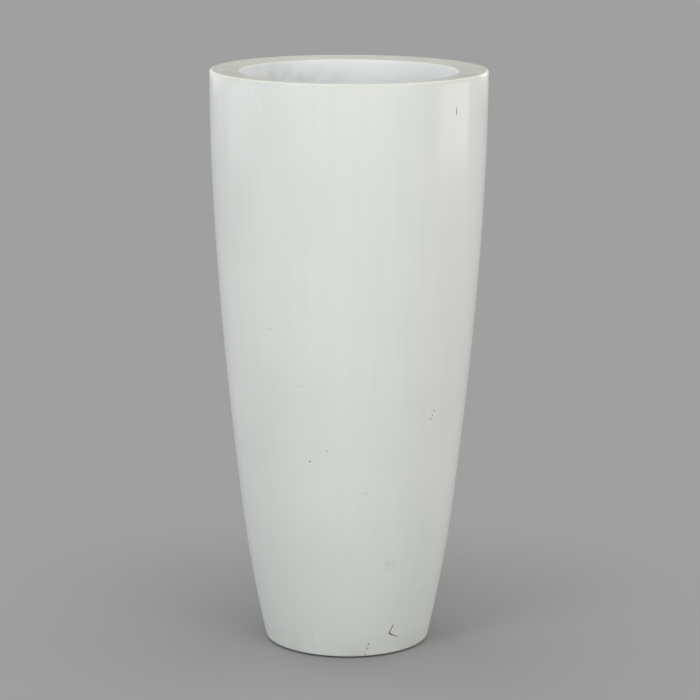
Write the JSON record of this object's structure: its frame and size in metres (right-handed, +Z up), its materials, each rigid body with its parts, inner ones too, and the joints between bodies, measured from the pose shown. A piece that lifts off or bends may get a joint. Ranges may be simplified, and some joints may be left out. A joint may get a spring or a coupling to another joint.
{
  "type": "planter",
  "caption": "Tall round glass-fibre planter with a convex taper, a broad flat rim, a lift-out planting insert with folding wire handles, and a plugged base drain.",
  "frame": {"origin": "centre of the floor that the planter stands on, under its axis", "axes": "+Z up the planter's axis, X through the two pairs of handle lugs, +X to the right and +Y away when seen as in the picture"},
  "size_m": [0.4729, 0.473, 0.9997],
  "materials": {
    "white_gelcoat": "gloss",
    "raw_laminate": "matte",
    "plywood": "matte",
    "dark_laminate": "satin",
    "black_plastic": "satin",
    "black_rubber": "matte",
    "insert_plastic": "satin",
    "zinc_wire": "satin"
  },
  "bodies": {
    "planter_body": {"outer_shell": "white_gelcoat", "insert_seat_ring": "raw_laminate", "rim_core_ring": "plywood", "base_pan": "dark_laminate", "base_board": "plywood", "drain_bush": "black_plastic", "foot_pad_1": "black_rubber", "foot_pad_2": "black_rubber", "foot_pad_3": "black_rubber", "foot_pad_4": "black_rubber", "foot_pad_5": "black_rubber", "foot_pad_6": "black_rubber"},
    "drain_plug": {"drain_plug": "black_rubber"},
    "planting_insert": {"planting_insert": "insert_plastic", "drain_plate": "insert_plastic"},
    "lift_handle_left": {"lift_handle_left": "zinc_wire"},
    "lift_handle_right": {"lift_handle_right": "zinc_wire"}
  },
  "joints": [
    {"name": "insert_lift", "type": "slide", "parent": "planter_body", "child": "planting_insert", "axis": [0, 0, 1], "range_m": [0, 0.42]},
    {"name": "plug_pull", "type": "slide", "parent": "planter_body", "child": "drain_plug", "axis": [0, 0, 1], "range_m": [0, 0.03]},
    {"name": "handle_fold_left", "type": "hinge", "parent": "planting_insert", "child": "lift_handle_left", "pos_m": [-0.1633, 0, 0.9423], "axis": [0, -1, 0], "range_deg": [0, 95]},
    {"name": "handle_fold_right", "type": "hinge", "parent": "planting_insert", "child": "lift_handle_right", "pos_m": [0.1633, 0, 0.9423], "axis": [0, 1, 0], "range_deg": [0, 95]}
  ]
}
